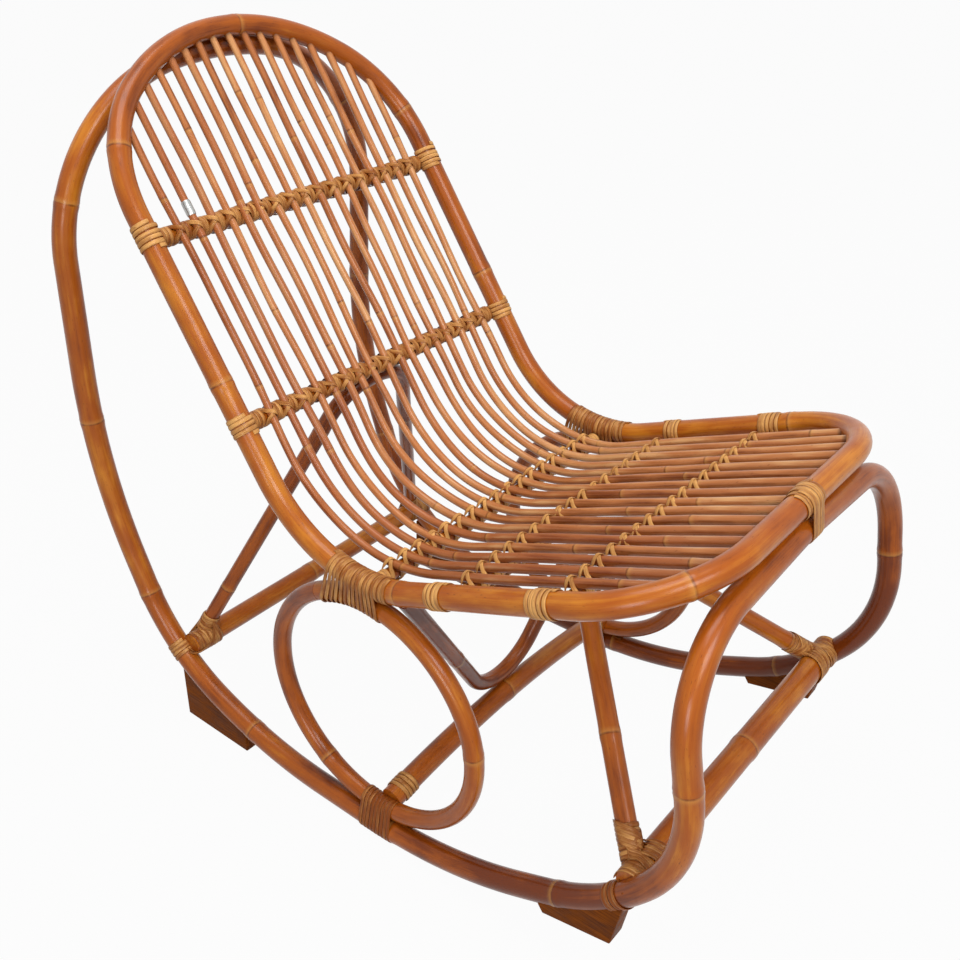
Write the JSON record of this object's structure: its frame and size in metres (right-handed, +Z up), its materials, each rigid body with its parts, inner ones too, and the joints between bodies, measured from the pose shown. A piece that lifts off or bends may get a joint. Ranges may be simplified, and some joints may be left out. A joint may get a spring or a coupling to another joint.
{
  "type": "rattan rocking chair",
  "caption": "Low armless rocking chair of bent rattan poles, with a hooped slat seat and back, hooped rockers, side rings and cane bindings.",
  "frame": {"origin": "on the floor under the middle of the chair's box", "axes": "+Z up, the sitter faces -Y, +X to the sitter's left; the chair leans back on its rockers and rear stop blocks"},
  "size_m": [0.5766, 1.0064, 0.9841],
  "materials": {
    "rattan_pole": "gloss varnish",
    "rattan_slat": "gloss varnish",
    "cane": "satin varnish",
    "block_wood": "stained",
    "metal": "plain"
  },
  "bodies": {
    "root": {"seat_hoop": "rattan_pole", "rocker_hoop": "rattan_pole", "slat_01": "rattan_slat", "slat_02": "rattan_slat", "slat_03": "rattan_slat", "slat_04": "rattan_slat", "slat_05": "rattan_slat", "slat_06": "rattan_slat", "slat_07": "rattan_slat", "slat_08": "rattan_slat", "slat_09": "rattan_slat", "slat_10": "rattan_slat", "slat_11": "rattan_slat", "slat_12": "rattan_slat", "slat_13": "rattan_slat", "slat_14": "rattan_slat", "slat_15": "rattan_slat", "slat_16": "rattan_slat", "slat_17": "rattan_slat", "ring_right": "rattan_pole", "ring_left": "rattan_pole", "upper_back_rail": "rattan_pole", "lower_back_rail": "rattan_pole", "rear_seat_bar": "rattan_pole", "middle_seat_bar": "rattan_pole", "front_seat_bar": "rattan_pole", "rear_stretcher": "rattan_pole", "front_stretcher": "rattan_pole", "middle_stretcher": "rattan_pole", "front_brace": "rattan_pole", "rear_brace": "rattan_pole", "under_seat_brace": "rattan_pole", "rear_stop_block_right": "block_wood", "front_stop_block_right": "block_wood", "rear_stop_block_left": "block_wood", "front_stop_block_left": "block_wood", "arch_nails": "metal", "front_rail_nails": "metal", "stretcher_nails": "metal", "block_nails": "metal", "metal_sleeve": "metal", "ring_spacers": "block_wood", "upper_rail_end_bindings": "cane", "lower_rail_end_bindings": "cane", "middle_bar_end_bindings": "cane", "front_bar_end_bindings": "cane", "seat_bend_bindings": "cane", "ring_foot_bindings": "cane", "front_joint_bindings": "cane", "rear_joint_bindings": "cane", "front_brace_foot_bindings": "cane", "rear_brace_foot_bindings": "cane", "middle_stretcher_bindings": "cane", "front_centre_binding": "cane", "upper_rail_lashing": "cane", "lower_rail_lashing": "cane", "rear_bar_lashing": "cane", "middle_bar_lashing": "cane", "front_bar_lashing": "cane"}
  },
  "joints": []
}
